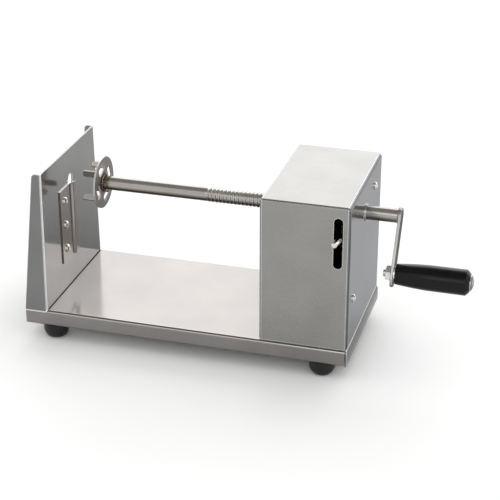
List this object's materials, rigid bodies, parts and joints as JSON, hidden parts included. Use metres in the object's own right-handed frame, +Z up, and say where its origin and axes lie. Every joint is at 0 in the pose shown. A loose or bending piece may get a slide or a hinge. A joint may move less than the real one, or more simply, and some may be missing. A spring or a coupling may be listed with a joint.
{
  "type": "spiral potato cutter",
  "caption": "Hand-cranked steel potato cutter: a threaded tube screws a pronged disc towards an upright plate, whose raised blade cuts the potato into one spiral.",
  "frame": {"origin": "middle of the overall box in X and Y, on the table the feet stand on", "axes": "+Z up, +X along the drive tube from the blade towards the crank, -Y the front with the release pin"},
  "size_m": [0.412, 0.1525, 0.169],
  "materials": {
    "stainless_sheet": "fine brushed stainless sheet",
    "bright_tray": "bright rolled stainless sheet",
    "tube_steel": "turned stainless tube, slightly warm",
    "blade_steel": "ground stainless",
    "bright_fastener": "polished stainless",
    "weld": "weld bead with a brown heat tint",
    "bronze": "machined bronze",
    "white_nylon": "machined nylon",
    "black_rubber": "moulded black rubber",
    "black_plastic": "moulded glossy black plastic"
  },
  "bodies": {
    "root": {"tray": "bright_tray", "end_bracket": "stainless_sheet", "blade": "blade_steel", "blade_screws": "bright_fastener", "blade_nuts": "bright_fastener", "feet": "black_rubber", "foot_screws": "bright_fastener", "foot_washers": "bright_fastener", "foot_nuts": "bright_fastener", "housing_cover": "stainless_sheet", "side_panel": "stainless_sheet", "left_wall": "stainless_sheet", "housing_screws": "bright_fastener", "housing_nuts": "bright_fastener", "wall_bush": "white_nylon", "lever_post": "bright_fastener", "lever_clip": "bright_fastener", "spring_post": "bright_fastener", "panel_screws": "bright_fastener", "return_spring": "bright_fastener"},
    "bush": {"guide_bush": "tube_steel", "bush_ring": "bright_fastener"},
    "shaft": {"shaft_tube": "tube_steel", "holder_disc": "stainless_sheet", "disc_weld": "weld", "arm_weld": "weld", "crank_arm": "bright_fastener", "grip_bolt": "bright_fastener", "grip_sleeve": "tube_steel", "grip_washer": "bright_fastener", "grip_nut": "bright_fastener"},
    "grip_body": {"grip": "black_plastic"},
    "lever": {"lever_plate": "stainless_sheet", "release_pin": "bright_fastener", "half_nut": "bronze", "nut_screws": "bright_fastener"}
  },
  "joints": [
    {"name": "crank_turn", "type": "hinge", "parent": "root", "child": "bush", "pos_m": [0.10295, 0.00625, 0.137], "axis": [1, 0, 0], "range_deg": [0, 12600]},
    {"name": "shaft_feed", "type": "slide", "parent": "bush", "child": "shaft", "axis": [1, 0, 0], "range_m": [0, 0.126]},
    {"name": "grip_spin", "type": "hinge", "parent": "shaft", "child": "grip_body", "pos_m": [0.16295, -0.02053, 0.09243], "axis": [1, 0, 0], "continuous": true},
    {"name": "release_lift", "type": "hinge", "parent": "root", "child": "lever", "pos_m": [0.09315, 0.04225, 0.148], "axis": [-1, 0, 0], "range_deg": [0, 8.5], "stiffness_Nm_per_rad": 2.1, "springref_deg": -10.31, "deforming": ["return_spring"]}
  ],
  "couplings": [
    {"joint": "shaft_feed", "follows": "crank_turn", "m_per_rad": 0.00057296}
  ]
}
